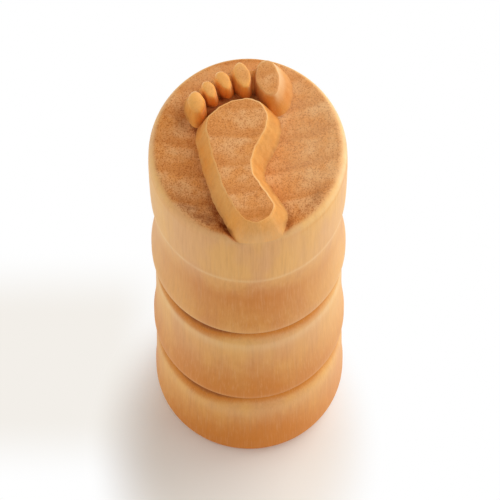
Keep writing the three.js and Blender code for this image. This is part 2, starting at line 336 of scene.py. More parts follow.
class CarvedSizes(bpy.types.PropertyGroup):
    """Sizes of the footprint carved on the end grain."""

    printing: length("Printing Face", "Height of the printing face over the foot", PRINTING)
    left_draft: length("Left Draft", "How far the sole's wall spreads downwards, on the left", 1.05 * MM)
    right_draft: length("Right Draft", "The same on the right", 1.45 * MM)
    wobble: length("Wobble", "How far the hand-cut edges wander", 0.05 * MM)
    notch_depth: length("Notch Depth", "Cut at the heel's foot, where it runs out over the rim", 1.1 * MM)
    notch_right: share("Right Notch", "Share of that depth on the right of the heel", 0.45)
    notch_width: length("Notch Width", "Middle of that cut to its edge", 0.45 * MM)
    edge_round: length("Edge Round", "Worn edge of the sole's printing face", 0.17 * MM)
    toe_edge: length("Toe Edge", "Worn edge at the foot of a toe's dome", 0.03 * MM)
    side_blend: length("Side Blend", "How softly the heel runs into the handle's side", 0.3 * MM)
    foot_flare: length("Foot Flare", "Hollow that the tool leaves where a wall meets the ground", 0.22 * MM)
    flare_height: length("Flare Height", "Height over which that hollow fades", 0.35 * MM)
    web_reach: length("Web Reach", "Gap between two toes at which the wood left between them ends", 2.0 * MM)
    web_hollow: share("Web Hollow", "Share of its height that this wood is hollowed by midway", 0.18)
    pocket_rise: length("Pocket Rise", "Height of the wood left between the toes and the sole", 1.1 * MM)
    skirt: length("Skirt", "How far the islands reach into the wood below the ground", 2.4 * MM)
    rim_radius: length("Rim Radius", "Edge of the ground that the footprint is laid out on", 12 * MM)
    heel_inset: length("Heel Inset", "Rim to the tip of the heel", 0.1 * MM)
    toe_space: length("Toe Space", "Front of the ball to the rim behind the toes", 6.85 * MM)
    ball_behind: length("Ball Behind Front", "Front of the ball to its widest place", 2.6 * MM)
    heel_ahead: length("Heel Ahead Of Tip", "Tip of the heel to its widest place", 2.7 * MM)
    ball_width: length("Ball Width", "Widest across the ball", 7.5 * MM)
    arch_width: length("Arch Width", "Narrowest across the arch", 4.65 * MM)
    heel_width: length("Heel Width", "Widest across the heel", 5.3 * MM)
    front_shift: length("Front Shift", "Front of the ball to +X", -0.15 * MM)
    ball_shift: length("Ball Shift", "Middle of the ball to +X", -1.2 * MM)
    arch_shift: length("Arch Shift", "Middle of the arch to +X", -1.9 * MM)
    heel_shift: length("Heel Shift", "Middle of the heel to +X", 0.65 * MM)
    heel_skew: length("Heel Skew", "How much nearer to the tip the heel is widest on the right", 0.4 * MM)
    inner_shift: length("Inner Shift", "Inner edge between arch and heel to +X", 1.65 * MM)
    inner_ahead: length("Inner Ahead Of Heel", "Heel's widest place to that place on the edge", 2.55 * MM)
    tip_shift: length("Heel Tip Shift", "Tip of the heel to +X", 0.8 * MM)


class WoodLook(bpy.types.PropertyGroup):
    """Colours and grain of the wood."""

    side: colour("Side Grain", "Turned and carved sides along the grain", srgb(242, 182, 104))
    amber: colour("Amber", "Deeper tone of the sides and of the end grain", srgb(216, 130, 42))
    # On the rounded toes this brighter colour is painted light on the same wood. On the sole it colours
    # patches.
    toe: colour("Toe", "Brighter wood of the rounded toes and in patches of the sole", srgb(252, 179, 86))
    # The rounded toes' deep colour, laid mostly as painted shade on their walls by the roots and in the
    # valleys.
    toe_root: colour("Toe Root", "Deeper tone of the rounded toes towards the sole", srgb(250, 150, 48))
    end: colour("End Grain", "Faces cut across the grain", srgb(231, 154, 78))
    blush: colour("Blush", "Pinkish patches in the side grain", srgb(235, 175, 114))
    ring: colour("Ring", "Late wood of the growth rings", srgb(198, 124, 64))
    pore: colour("Pore", "Open pores and dark fibres", srgb(176, 88, 30))
    # This brown is the cutter's burning and also painted shade: in the valleys, at the walls' feet, in the
    # pocket by the toes, on side walls below their edges and in the grooves under the lips.
    toasted: colour("Toasted", "Grooves, ground and valleys browned by the cutter", srgb(132, 60, 14))
    # This pale colour is for pale grain and wear, and also for painted highlights and sheen on the edges, the
    # toes, the rim, the swells and the sides.
    worn: colour("Worn Edge", "Rubbed edges", srgb(252, 220, 168))
    ring_spacing: length("Ring Spacing", "Between one growth ring and the next", 3.8 * MM)


class StageLook(bpy.types.PropertyGroup):
    """Floor, light and view."""

    floor: colour("Floor", "Plain pale floor", srgb(251, 248, 240))
    # The grey band is a painted shadow on the floor.
    band: colour("Grey Band", "Faint shade on the floor to the left", srgb(243, 239, 233))
    elevation: angle("Elevation", "View over level", 68)
    roll: angle("Roll", "Tilt of the view", -0.4)
    distance: length("Distance", "Camera to the middle of the handle", 930 * MM)
    focal_pixels: pixels("Focal Length", "Focal length in pixels of a square image", 7170.0)
    middle_column: pixels("Middle Column", "Image column of the handle's middle", 248.6)
    middle_row: pixels("Middle Row", "Image row of the handle's middle", 261.9)
    key_power: power("Key", "Soft light from behind on the right", 4.2)
    right_power: power("Right", "Soft light from the right", 2.15)
    left_power: power("Left", "Soft light from the left", 2.1)
    front_power: power("Front", "Soft low light from the front", 0.42)
    sky: share("Sky", "Even light from all round", 0.46)


class Socket:
    """A value in a material: an expression on sockets and numbers adds the Math nodes that work it out."""

    def __init__(self, tree, socket=None):
        self.tree = tree
        self.socket = socket

    def make(self, kind, settings=None, values=None, output=0):
        """Adds a node of this kind, sets it, gives its sockets numbers or links, and returns one of its
        outputs."""
        node = self.tree.nodes.new(kind)
        for name, value in (settings or {}).items():
            if name == "stops":
                self.set_stops(node.color_ramp, value)
            else:
                setattr(node, name, value)
        for name, value in (values or {}).items():
            if isinstance(value, Socket):
                self.tree.links.new(value.socket, node.inputs[name])
            else:
                node.inputs[name].default_value = value
        return Socket(self.tree, node.outputs[output] if len(node.outputs) else None)

    @staticmethod
    def set_stops(ramp, stops):
        """Gives a colour ramp these stops, each a place and a grey level."""
        while len(ramp.elements) < len(stops):
            ramp.elements.new(1.0)
        for element, (place, level) in zip(ramp.elements, stops):
            element.position = place
            element.color = (level, level, level, 1)

    def math(self, operation, first, second):
        return self.make("ShaderNodeMath", {"operation": operation}, {0: first, 1: second})

    def __add__(self, other):
        return self.math("ADD", self, other)

    def __radd__(self, other):
        return self.math("ADD", other, self)

    def __sub__(self, other):
        return self.math("SUBTRACT", self, other)

    def __rsub__(self, other):
        return self.math("SUBTRACT", other, self)

    def __mul__(self, other):
        return self.math("MULTIPLY", self, other)

    def __rmul__(self, other):
        return self.math("MULTIPLY", other, self)

    def __truediv__(self, other):
        return self.math("DIVIDE", self, other)

    def ramp(self, low, high):
        """0 under low, 1 over high, and a smooth step between; low may be the greater."""
        values = {0: self, 1: low, 2: high, 3: 0.0, 4: 1.0}
        return self.make("ShaderNodeMapRange", {"interpolation_type": "SMOOTHSTEP"}, values)

    def tint(self, first, second):
        """first where this value is 0, second where it is 1; each is a colour or a colour socket."""
        pair = [c if isinstance(c, Socket) else (*c, 1) for c in (first, second)]
        return self.make("ShaderNodeMix", {"data_type": "RGBA"}, {0: self, 6: pair[0], 7: pair[1]}, 2)


def new_nodes(block):
    """Clears the nodes of a new material or world, and returns a socket to start from."""
    block.use_nodes = True
    block.node_tree.nodes.clear()
    return Socket(block.node_tree)


def stretched(place, across, along, radial=None):
    """A place multiplied across the grain and along it, and across it towards the pith where that differs."""
    scale = (across, across if radial is None else radial, along)
    return place.make("ShaderNodeMapping", {"vector_type": "POINT"}, {"Vector": place, "Scale": scale})


def noise(place, figure):
    """A noise value that varies over places in millimetres as a figure of the wood does."""
    vector = stretched(place, figure.across, figure.along, figure.radial)
    values = {"Vector": vector, "Scale": 1.0, "Detail": figure.detail, "Roughness": figure.roughness}
    return place.make("ShaderNodeTexNoise", {"noise_dimensions": "3D"}, values)


def layered(base, layers, figures, look):
    """A colour with layers laid over it, one after the other."""
    for layer in layers:
        amount = figures[layer.figure].ramp(layer.start, layer.full) * layer.strength
        base = amount.tint(base, getattr(look, layer.colour))
    return base


def wood(finish, look):
    """Oiled hardwood with its grain along Z: rings about a far pith, and fibres that show as streaks on the
    sides and as speckle on the end grain. The piece's marks say where it is end grain, where its side turns
    from its pale colour with patches to its deep one, where it is browned by the cutter's burning and by
    painted shade, and where it is paled by wear and by painted highlights and sheen."""
    material = bpy.data.materials.new(finish.name)
    start = new_nodes(material)
    pale, patches, deep = (getattr(look, name) for name in (finish.pale, finish.patches, finish.deep))
    place = stretched(start.make("ShaderNodeTexCoord", output="Object"), 1 / MM, 1 / MM)
    end_grain, tone, toasted, worn = (
        start.make("ShaderNodeAttribute", {"attribute_name": mark}, output="Fac") for mark in MARKS)
    figures = {name: noise(place, figure) for name, figure in FIGURES.items()}
    speckle, patch, cloud, mottle = (figures[name] for name in ("speckle", "patch", "cloud", "mottle"))

    flat = stretched(place, 1.0, 0.0)
    from_pith = flat.make("ShaderNodeVectorMath", {"operation": "DISTANCE"}, {0: flat, 1: PITH}, "Value")
    rings = (from_pith + figures["sway"] * RING_SWAY) / (look.ring_spacing / MM)
    phase = rings.make("ShaderNodeMath", {"operation": "FRACT"}, {0: rings})
    late_wood = phase.make("ShaderNodeValToRGB", {"stops": LATE_WOOD}, {0: phase})

    side = cloud.ramp(*PATCH_CLOUD).tint(pale, patches)
    deepened = tone + (cloud - 0.5) * CLOUD_TONE + (mottle - 0.5) * MOTTLE_TONE
    side = layered(deepened.ramp(0.0, 1.0).tint(side, deep), SIDE_LAYERS, figures, look)
    end = ((1 - late_wood) * patch.ramp(*EARLY_PATCH) * EARLY_PALE).tint(look.end, look.worn)
    end = (late_wood * (1 - patch) * LATE_DARK).tint(end, look.ring)
    end = (tone * END_TONE).tint(layered(end, END_LAYERS, figures, look), look.amber)
    bare = end_grain.tint(side, end)
    uneven = (mottle.ramp(*BROWN_MOTTLE) - 0.5) * (SIDE_UNEVEN + end_grain * END_UNEVEN)
    uneven = uneven + (speckle - 0.5) * end_grain * SPECKLE_UNEVEN
    # Browning: the cutter's burning and painted shade together.
    browned = (toasted * (BROWN_SHARE + uneven)).ramp(0.0, 1.0).tint(bare, look.toasted)
    # Paling: wear and painted highlights and sheen together.
    rubbed = worn * (PALE_SHARE + mottle.ramp(*PALE_MOTTLE) * MOTTLE_PALE + figures["streak"] * STREAK_PALE)
    relief = figures["fibre"] * (1 - end_grain) * FIBRE_RELIEF + speckle * end_grain
    bump = {"Strength": BUMP_STRENGTH, "Distance": BUMP_DEPTH, "Height": relief}
    surface = {
        "Base Color": rubbed.tint(browned, look.worn),
        "Roughness": finish.roughness + end_grain * END_ROUGHNESS + speckle * SPECKLE_ROUGHNESS,
        "Normal": start.make("ShaderNodeBump", {}, bump, "Normal"),
        "IOR": OIL_IOR,
        "Specular IOR Level": finish.gloss,
    }
    shader = start.make("ShaderNodeBsdfPrincipled", {}, surface)
    start.make("ShaderNodeOutputMaterial", {}, {"Surface": shader})
    return material


def quadratic(start, control, end, count):
    """Points of a quadratic curve after its start: (1-t)^2 start + 2t(1-t) control + t^2 end."""
    t = np.linspace(0, 1, count + 1)[1:, None]
    start, control, end = (np.array(point) for point in (start, control, end))
    return (1 - t) ** 2 * start + 2 * t * (1 - t) * control + t ** 2 * end


def straight(start, end, count):
    """Evenly spaced points after the start of a straight line."""
    t = np.linspace(0, 1, count + 1)[1:, None]
    return np.array(start) + t * (np.array(end) - np.array(start))


def smooth_step(low, high, value):
    """0 under low, 1 over high, 3t^2 - 2t^3 between; low may be the greater."""
    t = np.clip((value - low) / (high - low), 0, 1)
    return t * t * (3 - 2 * t)


def bell(value, middle, width):
    """A bell curve: 1 in the middle, and e to the power of minus the square of the widths away from it."""
    return np.exp(-((value - middle) / width) ** 2)


def side_radius(sizes, height, printing):
    """The head's side without its rounded rim: the full radius less a lean that grows with the square of
    the height over the belly, up to the printing face."""
    belly = sizes.ground - sizes.belly_drop
    rise = np.clip((height - belly) / (printing - belly), 0, None)
    return sizes.body_radius - sizes.head_lean * rise ** 2


def turn_bead(points, sizes, lip, waist_drop, waist_depth):
    """Adds a bead and the groove over it, from the bead's full width up to the land over the lip above."""
    full = sizes.body_radius
    start = points[-1][-1]
    waist = (full - waist_depth, lip - waist_drop)
    flank = (full - sizes.flank_depth, lip - sizes.flank_drop)
    flank_pull = (waist[0], flank[1] + (waist[1] - flank[1]) * FLANK_PULL)
    floor = (full - sizes.groove_depth, lip - sizes.groove_drop)
    under_lip = (full - sizes.lip_round, lip - LIP_UNDERCUT * sizes.lip_round)
    over_lip = (full, lip + sizes.lip_round)
    points.append(quadratic(start, (waist[0], (start[1] + waist[1]) / 2), waist, SWELL_RINGS))
    points.append(quadratic(waist, flank_pull, flank, FLANK_RINGS))
    points.append(quadratic(flank, (floor[0], (flank[1] + floor[1]) / 2), floor, ROUND_RINGS))
    points.append(quadratic(floor, (floor[0], (floor[1] + lip) / 2), under_lip, SWELL_RINGS))
    points.append(quadratic(under_lip, (full, lip - LIP_PULL * sizes.lip_round), over_lip, LIP_RINGS))
    points.append(straight(over_lip, (full, lip + sizes.land), LAND_RINGS))


def turned_profile(sizes, printing):
    """Half section of the handle as radius and height, from the middle of the foot up its side and over the
    rim to the middle of the carved ground: straight lands, quadratic swells and grooves, and an elliptical
    rim."""
    full = sizes.body_radius
    foot_edge = (full - sizes.foot_inset, 0.0)
    points = [np.array([(0.0, 0.0)]), straight((0.0, 0.0), foot_edge, FOOT_RINGS)]
    points.append(quadratic(foot_edge, (full, 0.0), (full, sizes.foot_round), ROUND_RINGS))
    points.append(straight(points[-1][-1], (full, sizes.foot_round + sizes.land), LAND_RINGS))
    turn_bead(points, sizes, sizes.lower_lip, sizes.lower_waist_drop, sizes.lower_waist_depth)
    turn_bead(points, sizes, sizes.upper_lip, sizes.upper_waist_drop, sizes.upper_waist_depth)
    land = points[-1][-1]
    neck = (full - sizes.neck_depth, sizes.ground - sizes.neck_drop)
    head_edge = (full - sizes.head_edge_depth, sizes.ground - sizes.head_edge_drop)
    head_pull = (full - HEAD_PULL * sizes.head_edge_depth, head_edge[1] + HEAD_PULL_RISE)
    belly = (full, sizes.ground - sizes.belly_drop)
    points.append(quadratic(land, (neck[0], (land[1] + neck[1]) / 2), neck, SWELL_RINGS))
    points.append(quadratic(neck, (neck[0], (neck[1] + head_edge[1]) / 2), head_edge, SWELL_RINGS))
    points.append(quadratic(head_edge, head_pull, belly, SWELL_RINGS))
    rim_low = sizes.ground - sizes.rim_drop
    rise = np.linspace(belly[1], rim_low, LEAN_RINGS + 1)[1:]
    points.append(np.stack([side_radius(sizes, rise, printing), rise], 1))
    turn = np.linspace(0, math.pi / 2, RIM_RINGS + 1)[1:]
    flat = full - sizes.rim_inset
    reach = points[-1][-1][0] - flat
    points.append(np.stack([flat + reach * np.cos(turn), rim_low + sizes.rim_drop * np.sin(turn)], 1))
    points.append(straight((flat, sizes.ground), (0.0, sizes.ground), GROUND_RINGS))
    return np.vstack(points)


def close_rings(name, rings, marks):
    """A closed mesh from rings of points, lowest first: ring i and column j at rings[i, j], columns running
    round counter-clockwise and joined, the first and last rings drawn together to one point each."""
    count, columns = rings.shape[:2]
    inner = rings[1:-1].reshape(-1, 3)
    vertices = np.vstack([rings[0].mean(0), inner, rings[-1].mean(0)])
    column = np.arange(columns)
    beside = np.roll(column, -1)
    row = 1 + columns * np.arange(count - 3)[:, None]
    quads = np.stack([row + column, row + beside, row + columns + beside, row + columns + column], 2)
    last_ring = 1 + columns * (count - 3)
    top = len(vertices) - 1
    lower = np.stack([np.zeros_like(column), 1 + beside, 1 + column], 1)
    upper = np.stack([np.full_like(column, top), last_ring + column, last_ring + beside], 1)
    mesh = bpy.data.meshes.new(name)
    mesh.from_pydata(vertices.tolist(), [], quads.reshape(-1, 4).tolist() + lower.tolist() + upper.tolist())
    for mark, values in marks.items():
        ends = (values[0].mean(keepdims=True), values[1:-1].ravel(), values[-1].mean(keepdims=True))
        mesh.attributes.new(mark, "FLOAT", "POINT").data.foreach_set("value", np.concatenate(ends))
    mesh.shade_smooth()
    mesh.update()
    piece = bpy.data.objects.new(name, mesh)
    bpy.context.scene.collection.objects.link(piece)
    return piece


def closed_spline(knots, count):
    """A smooth closed curve through knots (a uniform Catmull-Rom spline), as evenly spaced points."""
    knots = np.array(knots)
    before, after, beyond = (np.roll(knots, shift, 0) for shift in (1, -1, -2))
    t = np.linspace(0, 1, count, endpoint=False)[None, :, None]
    start_pull = (after - before) / 2
    end_pull = (beyond - knots) / 2
    curve = (
        (2 * t ** 3 - 3 * t ** 2 + 1) * knots[:, None]
        + (t ** 3 - 2 * t ** 2 + t) * start_pull[:, None]
        + (3 * t ** 2 - 2 * t ** 3) * after[:, None]
        + (t ** 3 - t ** 2) * end_pull[:, None]
    ).reshape(-1, 2)
    steps = np.linalg.norm(np.roll(curve, -1, 0) - curve, axis=1)
    walked = np.concatenate([[0.0], np.cumsum(steps)])
    even = np.linspace(0, walked[-1], count, endpoint=False)
    looped = np.vstack([curve, curve[:1]])
    return np.stack([np.interp(even, walked, looped[:, axis]) for axis in (0, 1)], 1)


def sole_outline(sizes, count):
    """The sole's printing outline, counter-clockwise from the front of the ball."""
    ball_front = sizes.rim_radius - sizes.toe_space
    heel_tip = sizes.heel_inset - sizes.rim_radius
    ball = ball_front - sizes.ball_behind
    heel = heel_tip + sizes.heel_ahead
    arch = (ball + heel) / 2
    knots = (
        (sizes.front_shift, ball_front),
        (sizes.ball_shift - sizes.ball_width / 2, ball),
        (sizes.arch_shift - sizes.arch_width / 2, arch),
        (sizes.heel_shift - sizes.heel_width / 2, heel),
        (sizes.tip_shift, heel_tip),
        (sizes.heel_shift + sizes.heel_width / 2, heel - sizes.heel_skew),
        (sizes.inner_shift, heel + sizes.inner_ahead),
        (sizes.arch_shift + sizes.arch_width / 2, arch),
        (sizes.ball_shift + sizes.ball_width / 2, ball),
    )
    return closed_spline(knots, count)


def toe_middle(toe, sizes):
    """The middle of a toe's pad on the face."""
    return np.array([toe.aside * MM, sizes.rim_radius - sizes.toe_space + toe.ahead * MM])


def toe_outline(toe, sizes, count):
    """A toe's printing outline: an egg turned to the left, its width times one plus the taper towards its
    far end and one less the taper towards the sole, counter-clockwise."""
    around = np.linspace(0, 2 * math.pi, count, endpoint=False)
    turn = math.radians(toe.turn)
    across = toe.width / 2 * MM * np.cos(around) * (1 + toe.taper * np.sin(around))
    ahead = toe.length / 2 * MM * np.sin(around)
    oval = np.stack([across * math.cos(turn) - ahead * math.sin(turn),
                     across * math.sin(turn) + ahead * math.cos(turn)], 1)
    return toe_middle(toe, sizes) + oval


def outward(outline):
    """Unit normals of a counter-clockwise outline, pointing out."""
    along = np.roll(outline, -1, 0) - np.roll(outline, 1, 0)
    along /= np.linalg.norm(along, axis=1, keepdims=True)
    return np.stack([along[:, 1], -along[:, 0]], 1)


def hand_cut(outline, wobble):
    """How far each place of an outline wanders out, as a hand tool leaves it: a sum of sines of the share
    of the way round, each with its part of the wander and about one wave in its length."""
    way_round = np.linalg.norm(np.roll(outline, -1, 0) - outline, axis=1).sum()
    around = np.linspace(0, 2 * math.pi, len(outline), endpoint=False)
    waves = (part * np.sin(round(way_round / (wave * MM)) * around + wave) for part, wave in HAND_WAVES)
    return wobble * sum(waves)


def sole_island(carved, columns):
    """The sole with its ball, arch and heel."""
    outline = sole_outline(carved, columns)
    heel, front = outline[:, 1].min(), outline[:, 1].max()
    pole_aside = carved.arch_shift - SOLE_POLE_ASIDE * carved.arch_width
    pole = np.array([pole_aside, heel + SOLE_POLE_ALONG * (front - heel)])
    rightwards = smooth_step(-1, 1, outward(outline)[:, 0])
    draft = carved.left_draft + (carved.right_draft - carved.left_draft) * rightwards
    return Island(
        "sole", outline, pole, draft, carved.edge_round, dome=0.0, flatness=SOLE_FLATNESS,
        way=np.array([0.0, -1.0]), fall=0.0, length=1.0)


def toe_island(toe, carved, columns):
    """A toe. Its wall's spread is that of its left or right times the square of how far it faces sideways,
    plus that of its root or end times the square of how far it faces along."""
    outline = toe_outline(toe, carved, columns)
    turn = math.radians(toe.turn)
    way = np.array([math.sin(turn), -math.cos(turn)])
    normals = outward(outline)
    rightwards = normals @ np.array([math.cos(turn), math.sin(turn)])
    onwards = normals @ way
    draft = np.where(rightwards > 0, toe.right, toe.left) * rightwards ** 2
    draft += np.where(onwards > 0, toe.root, toe.end) * onwards ** 2
    return Island(
        toe.name, outline, toe_middle(toe, carved), draft * MM, carved.toe_edge, dome=toe.dome * MM,
        flatness=toe.flatness, way=way, fall=toe.fall * MM, length=toe.length * MM)


def islands(carved):
    """Every island, drawn coarsely, the sole first."""
    toes = (toe_island(toe, carved, COARSE_TOE_COLUMNS) for toe in TOES)
    return [sole_island(carved, COARSE_SOLE_COLUMNS), *toes]


def distance_to(points, outline):
    """Distance from each point to the nearest place on a closed outline."""
    spans = np.roll(outline, -1, 0) - outline
    offset = points.reshape(-1, 1, 2) - outline
    walked = np.clip((offset * spans).sum(2) / (spans ** 2).sum(1), 0, 1)
    nearest = np.linalg.norm(offset - walked[:, :, None] * spans, axis=2).min(1)
    return nearest.reshape(points.shape[:-1])


def neighbour_distance(points, left_out, carved):
    """How far each point is from the nearest printing outline other than the one that is left out."""
    others = (island for island in islands(carved) if island.name != left_out)
    return np.min([distance_to(points, island.outline) for island in others], 0)


def pocket_width(points, carved):
    """How wide the pocket between the sole and the nearest toe is at each point."""
    sole, *toes = (distance_to(points, island.outline) for island in islands(carved))
    return sole + np.min(toes, 0)


def toe_webs(points, carved):
    """Height over the ground of the wood left between neighbouring toes and in their pocket by the sole.
    Between two toes it fills the gap where that is narrow, hollowed midway between their outlines, and
    falls from its rise near their far ends to nought at their roots. In the pocket it rises where the
    pocket is narrow."""
    in_pocket = smooth_step(*POCKET_AHEAD, points[..., 1]) * smooth_step(*POCKET_ASIDE, points[..., 0])
    height = carved.pocket_rise * in_pocket * smooth_step(*POCKET_NARROW, pocket_width(points, carved))
    away = [distance_to(points, toe_outline(toe, carved, COARSE_TOE_COLUMNS)) for toe in TOES]
    for toe, neighbour, first, second in zip(TOES, TOES[1:], away, away[1:]):
        middle = (toe_middle(toe, carved) + toe_middle(neighbour, carved)) / 2
        turn = math.radians(toe.turn + neighbour.turn) / 2
        span = (toe.length + neighbour.length) / 4 * MM
        walked = (points - middle) @ np.array([math.sin(turn), -math.cos(turn)]) / span
        gap = first + second
        hollowed = 1 - carved.web_hollow * (1 - ((first - second) / gap) ** 2)
        filled = smooth_step(carved.web_reach, carved.web_reach / 2, gap) * smooth_step(*WEB_ALONG, walked)
        height = np.maximum(height, toe.web * MM * hollowed * filled)
    return height


def heel_notch(points, carved):
    """How deep the cut beside the heel's wall is: a bell curve across the wall's foot, fading away from the
    rim."""
    on_left = points[..., 0] < carved.tip_shift
    foot = np.where(on_left, carved.left_draft, carved.right_draft)
    from_foot = distance_to(points, sole_outline(carved, COARSE_SOLE_COLUMNS)) - foot - NOTCH_OUT
    near_rim = smooth_step(NOTCH_FROM * carved.rim_radius, carved.rim_radius, np.linalg.norm(points, axis=-1))
    cut = bell(from_foot, 0, carved.notch_width) * near_rim * (points[..., 1] < 0)
    return carved.notch_depth * cut * np.where(on_left, 1.0, carved.notch_right)


def handle_rings(profile, turned, carved):
    """The profile carried round the middle line. Over the side, the rim's rounding is a share of its
    fullest that falls with the square of the sine of the angle, to the heel's end and to the toes' end."""
    around = np.linspace(0, 2 * math.pi, HANDLE_COLUMNS, endpoint=False)
    radius, height = profile[:, :1], profile[:, 1:]
    back, front = np.clip(np.sin(around), 0, 1) ** 2, np.clip(-np.sin(around), 0, 1) ** 2
    rounding = 1 - turned.rim_sharp_back * back - turned.rim_sharp_front * front
    rim_low = turned.ground - turned.rim_drop
    flat = turned.body_radius - turned.rim_inset
    outer = side_radius(turned, rim_low, carved.printing)
    flat_edge = outer - (outer - flat) * rounding
    on_rim, on_flat = height > rim_low, height >= turned.ground
    drawn = np.where(on_flat, radius * flat_edge / flat, outer - (outer - radius) * rounding)
    radius = np.where(on_rim, drawn, radius)
    height = np.where(on_rim, turned.ground - (turned.ground - height) * rounding, height)
    rings = np.stack([radius * np.cos(around), radius * np.sin(around), height], 2)
    ground, over = on_flat.ravel(), on_rim.ravel()
    rings[ground, :, 2] += toe_webs(rings[ground][:, :, :2], carved)
    rise = (profile[over, 1:] - rim_low) / turned.rim_drop
    rings[over, :, 2] -= heel_notch(rings[over][:, :, :2], carved) * rise
    return rings


def island_levels(carved, turned, top, edge):
    """Rings of an island from the bottom of its skirt to its printing edge: heights, shares of the draft
    that each ring is moved out, how far the worn edge draws it back in, and shares of the hollow at the
    wall's foot."""
    ground = turned.ground
    skirt = np.linspace(ground - carved.skirt, ground - SKIRT_GAP, SKIRT_RINGS)
    crowded = np.linspace(0, 1, FLARE_RINGS, endpoint=False) ** FLARE_CROWDING
    foot = ground + crowded * FLARE_REACH * carved.flare_height
    wall = np.linspace(foot[-1], top - edge, WALL_RINGS + 1)[1:]
    turn = np.linspace(0, math.pi / 2, EDGE_RINGS + 1)[1:]
    rounded = top - edge + edge * np.sin(turn)
    heights = np.concatenate([skirt, foot, wall, rounded])
    shares = (top - heights) / (top - ground)
    drawn_in = np.zeros_like(heights)
    drawn_in[-len(turn):] = edge * (1 - np.cos(turn))
    flare = np.where(heights >= ground, np.exp(-(heights - ground) / carved.flare_height), 0.0)
    return heights, shares, drawn_in, flare


def carve_island(island, carved, turned):
    """A closed island of the carving. Its ring at each height is the printing outline moved out along its
    normals, and runs softly into the side of the head where it would stand past it. The caps run from the
    first and last rings to the pole, the upper one as a dome: the share of the way out and the share of the
    dome's height, each raised to the flatness, add up to one. Then the island is lowered along its way, by
    its fall at the top and by nothing at the ground."""
    normals = outward(island.outline)
    top = carved.printing - island.dome
    heights, shares, drawn_in, flare = island_levels(carved, turned, top, island.edge)
    offsets = shares[:, None] * island.draft - drawn_in[:, None] + hand_cut(island.outline, carved.wobble)
    moved = island.outline[None] + normals[None] * offsets[:, :, None]
    near_rim = smooth_step(*FLARE_BY_RIM, np.linalg.norm(moved, axis=2) - carved.rim_radius)
    moved += normals[None] * (carved.foot_flare * flare[:, None] * near_rim)[:, :, None]
    tuck_start, tuck_end = turned.ground - SKIRT_TUCK_START * carved.skirt, turned.ground - carved.skirt
    tucked = SKIRT_TUCK * smooth_step(tuck_start, tuck_end, heights)
    limit = (side_radius(turned, heights, carved.printing) + HEEL_PROUD - tucked)[:, None]
    radius = np.linalg.norm(moved, axis=2)
    past = np.logaddexp(0, (radius - limit) / carved.side_blend) * carved.side_blend
    moved *= (1 - past / radius)[:, :, None]
    wall = np.concatenate([moved, np.broadcast_to(heights[:, None, None], (*moved.shape[:2], 1))], 2)
    inward = np.linspace(0, 1, LOWER_CAP_RINGS, endpoint=False)[:, None, None]
    middle = np.array([*island.pole, 0.0])
    flat = [True, True, False]
    lower = np.where(flat, middle + (wall[0] - middle) * inward, wall[0])
    turn = np.linspace(0, math.pi / 2, CAP_RINGS + 1)[1:, None, None]
    spread, rise = np.cos(turn).clip(0) ** (2 / island.flatness), np.sin(turn) ** (2 / island.flatness)
    upper = np.where(flat, middle + (wall[-1] - middle) * spread, wall[-1] + island.dome * rise)
    rings = np.concatenate([lower, wall, upper])
    walked = (rings[:, :, :2] - island.pole) @ island.way / island.length
    lifted = np.clip((rings[:, :, 2] - turned.ground) / (carved.printing - turned.ground), 0, 1)
    rings[:, :, 2] -= island.fall * smooth_step(*FALL_ALONG, walked) * lifted
    marks = island_marks(island, rings, len(lower) + len(wall), carved, turned)
    return close_rings("stamp_" + island.name, rings, marks)


